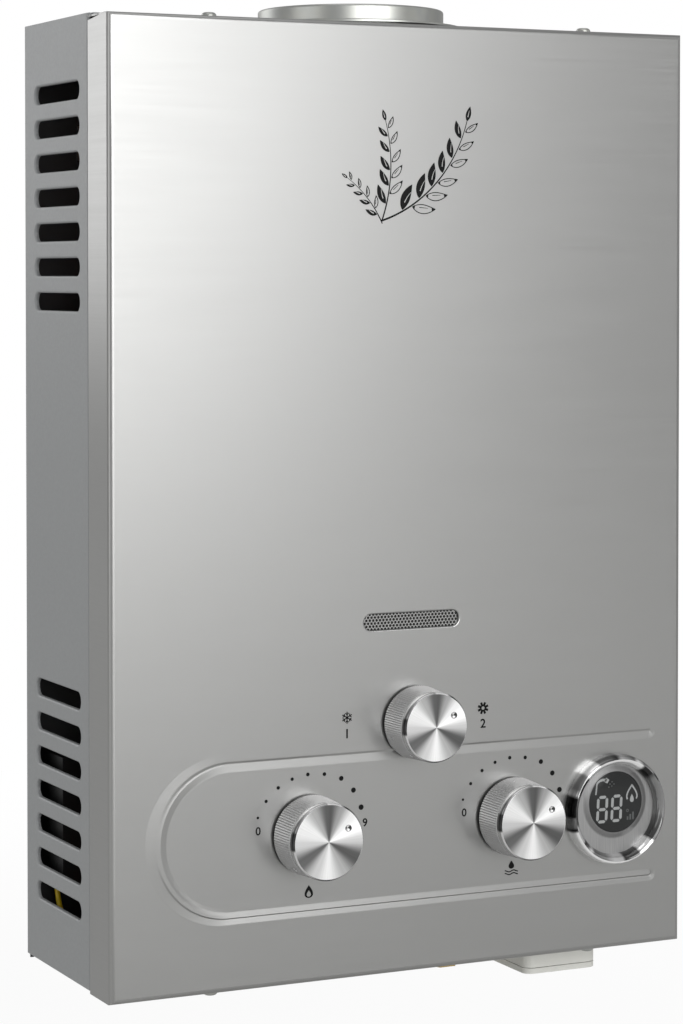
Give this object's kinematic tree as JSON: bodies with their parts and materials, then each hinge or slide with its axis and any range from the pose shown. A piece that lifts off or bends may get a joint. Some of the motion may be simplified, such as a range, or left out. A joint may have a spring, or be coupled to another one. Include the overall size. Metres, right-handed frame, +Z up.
{
  "type": "gas water heater",
  "caption": "Wall-hung gas water heater: pressed steel cover, flue collar, knurled knobs, round display, flame window, louvred casing, threaded stubs and a battery box under it.",
  "frame": {"origin": "on the wall face (back of the casing), on the centre line, level with the cover's lower edge", "axes": "+X to the right as the user faces the heater, +Y into the wall, +Z up"},
  "size_m": [0.29, 0.1327, 0.4565],
  "materials": {
    "stainless_cover": "vertically brushed stainless steel sheet",
    "casing_paint": "grey painted steel sheet",
    "chrome": "polished chrome plate",
    "spun_aluminium": "radially spun, clear lacquered",
    "copper": "bare copper",
    "brass": "machined and cast brass",
    "valve_casting": "as cast",
    "plated_steel": "zinc plated steel sheet",
    "burner_steel": "bare stainless steel",
    "dark_plastic": "smoked display lens",
    "box_plastic": "warm light grey moulding",
    "board": "circuit board",
    "controller_plastic": "black moulding",
    "ceramic": "unglazed ceramic",
    "mica": "mica sheet",
    "rubber": "moulded rubber",
    "nickel": "nickel plate",
    "yellow_lead": "insulated wire",
    "filter_mesh": "wire mesh"
  },
  "bodies": {
    "heater": {"battery_box": "box_plastic", "battery_contacts": "nickel", "battery_lead": "yellow_lead", "bottom_plate": "casing_paint", "burner_bars": "burner_steel", "burner_box": "plated_steel", "burner_tray": "burner_steel", "chamber_brackets": "plated_steel", "cold_inlet": "brass", "cold_pipe": "copper", "diaphragm": "rubber", "display_bezel": "chrome", "display_board": "board", "display_dial": "spun_aluminium", "display_lens": "dark_plastic", "draft_hood": "plated_steel", "exchanger_bends": "copper", "exchanger_fins": "copper", "exchanger_shell": "copper", "flue_collar": "plated_steel", "front_cover": "stainless_cover", "gas_inlet": "brass", "gas_manifold": "valve_casting", "gas_pipe": "plated_steel", "gas_valve_body": "valve_casting", "hot_outlet": "brass", "hot_pipe": "copper", "ignition_controller": "controller_plastic", "inlet_filter": "filter_mesh", "manifold_arms": "plated_steel", "microswitch": "controller_plastic", "nozzles": "brass", "overheat_cutout": "controller_plastic", "rear_casing": "casing_paint", "season_valve": "valve_casting", "solenoid_valve": "plated_steel", "spark_electrodes": "ceramic", "top_plate": "casing_paint", "valve_bracket": "plated_steel", "valve_screws": "plated_steel", "water_valve_body": "brass", "water_valve_cover": "brass", "window_grille": "plated_steel", "window_mica": "mica"},
    "gas_knob": {"gas_knob_skirt": "chrome", "gas_knob_cap": "spun_aluminium", "gas_spindle": "brass"},
    "water_knob": {"water_knob_skirt": "chrome", "water_knob_cap": "spun_aluminium", "water_spindle": "brass"},
    "season_knob": {"season_knob_skirt": "chrome", "season_knob_cap": "spun_aluminium", "season_spindle": "brass"},
    "battery_door": {"battery_door": "box_plastic", "door_contact": "nickel"},
    "drain_plug": {"drain_plug": "brass"},
    "push_rod": {"push_rod": "plated_steel"}
  },
  "joints": [
    {"name": "gas_knob_turn", "type": "hinge", "parent": "heater", "child": "gas_knob", "pos_m": [-0.05, -0.12, 0.067], "axis": [0, -1, 0], "range_deg": [-25, 145]},
    {"name": "water_knob_turn", "type": "hinge", "parent": "heater", "child": "water_knob", "pos_m": [0.0535, -0.12, 0.067], "axis": [0, -1, 0], "range_deg": [-25, 145]},
    {"name": "season_knob_turn", "type": "hinge", "parent": "heater", "child": "season_knob", "pos_m": [0.0035, -0.12, 0.114], "axis": [0, -1, 0], "range_deg": [-25, 145]},
    {"name": "battery_door_hinge", "type": "hinge", "parent": "heater", "child": "battery_door", "pos_m": [0.0962, -0.0105, -0.0131], "axis": [1, 0, 0], "range_deg": [0, 90]},
    {"name": "drain_plug_turn", "type": "hinge", "parent": "heater", "child": "drain_plug", "pos_m": [0.04, -0.064, 0], "axis": [0, 0, 1], "range_deg": [0, 360]},
    {"name": "push_rod_slide", "type": "slide", "parent": "heater", "child": "push_rod", "axis": [-1, 0, 0], "range_m": [0, 0.0035], "stiffness_N_per_m": 200}
  ]
}
